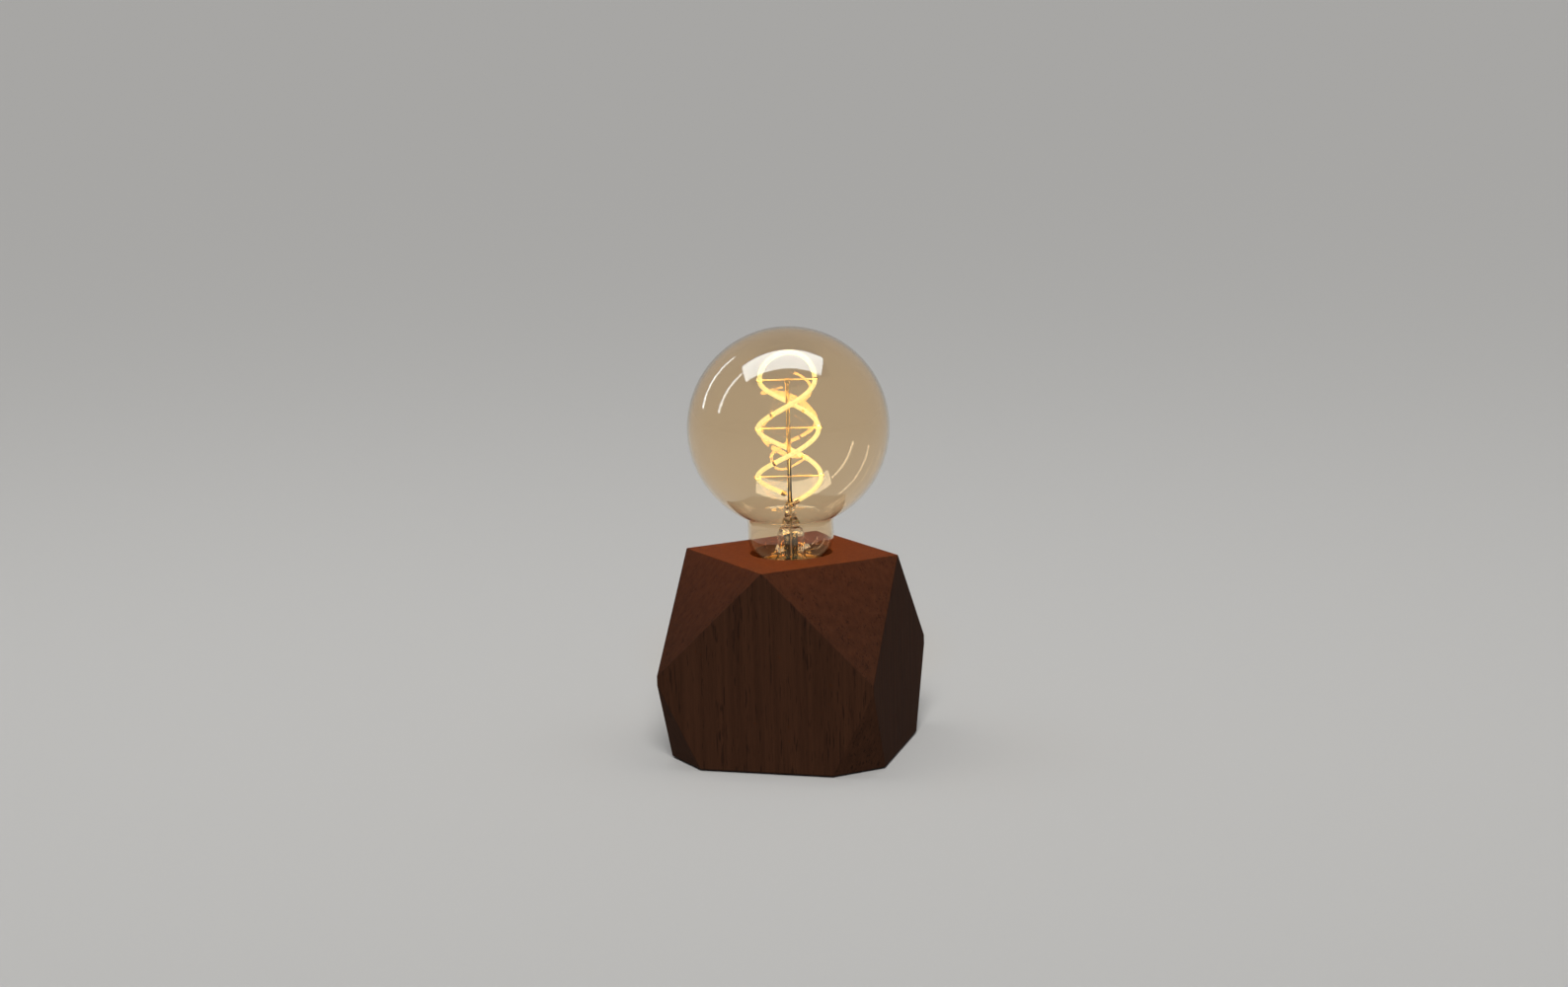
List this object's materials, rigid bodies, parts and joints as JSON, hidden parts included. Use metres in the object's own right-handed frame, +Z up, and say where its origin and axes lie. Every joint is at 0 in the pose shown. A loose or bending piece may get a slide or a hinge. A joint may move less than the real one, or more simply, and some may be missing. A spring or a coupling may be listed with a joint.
{
  "type": "bare bulb table lamp",
  "caption": "Faceted dark wood block with a lampholder sunk in its top and a bare amber globe bulb that screws out, its glowing filament wound as a double spiral.",
  "frame": {"origin": "on the table, at the centre of the block's footprint, under the bulb's axis", "axes": "+Z up along the bulb's axis; -Y is the front face; +Y is the back face with the cord inlet"},
  "size_m": [0.1036, 0.1041, 0.2018],
  "materials": {
    "walnut_stain": "dark stained walnut, open vertical grain, satin oil",
    "black_plastic": "satin black thermoset",
    "black_felt": "matt black pad",
    "zinc_steel": "zinc-plated steel",
    "brass": "plain brass",
    "white_ceramic": "white glazed steatite",
    "amber_glass": "thin amber-tinted glass",
    "clear_glass": "clear glass",
    "lit_filament": "glowing warm phosphor in clear silicone",
    "bright_wire": "bright nickel wire",
    "gold_cap": "gold-toned metal",
    "grey_cement": "dull cement",
    "black_glass": "black glass",
    "solder_tip": "tinned metal",
    "circuit_board": "green solder mask",
    "capacitor_can": "dark sleeve",
    "chip_black": "moulded black resin"
  },
  "bodies": {
    "base": {"wood_body": "walnut_stain", "bottom_cover": "black_plastic", "cover_screws": "zinc_steel", "foot_pads": "black_felt", "cord_bush": "black_plastic", "threaded_nipple": "zinc_steel", "nipple_washer": "zinc_steel", "nipple_nut": "zinc_steel", "lock_washer": "zinc_steel", "holder_cap": "black_plastic", "holder_grub_screw": "zinc_steel", "holder_shell": "black_plastic", "holder_insert": "white_ceramic", "socket_thread_shell": "brass", "socket_centre_contact": "brass", "socket_side_contact": "brass", "terminal_plates": "brass", "terminal_screws": "zinc_steel"},
    "bulb_tip": {"tip_contact": "solder_tip"},
    "bulb": {"bulb_glass": "amber_glass", "bulb_stem": "clear_glass", "exhaust_tube": "clear_glass", "centre_rod": "clear_glass", "filament": "lit_filament", "filament_bands": "bright_wire", "filament_end_caps": "bright_wire", "filament_supports": "bright_wire", "lead_in_wires": "bright_wire", "bulb_cap_shell": "gold_cap", "cap_cement": "grey_cement", "cap_insulator": "black_glass", "driver_board": "circuit_board", "driver_capacitor": "capacitor_can", "driver_chips": "chip_black"}
  },
  "joints": [
    {"name": "bulb_rise", "type": "slide", "parent": "base", "child": "bulb_tip", "axis": [0, 0, 1], "range_m": [0, 0.0182]},
    {"name": "bulb_turn", "type": "hinge", "parent": "bulb_tip", "child": "bulb", "pos_m": [0, 0, 0.0905], "axis": [0, 0, 1], "range_deg": [0, 1800]}
  ],
  "couplings": [
    {"joint": "bulb_rise", "follows": "bulb_turn", "m_per_rad": 0.00057757}
  ]
}
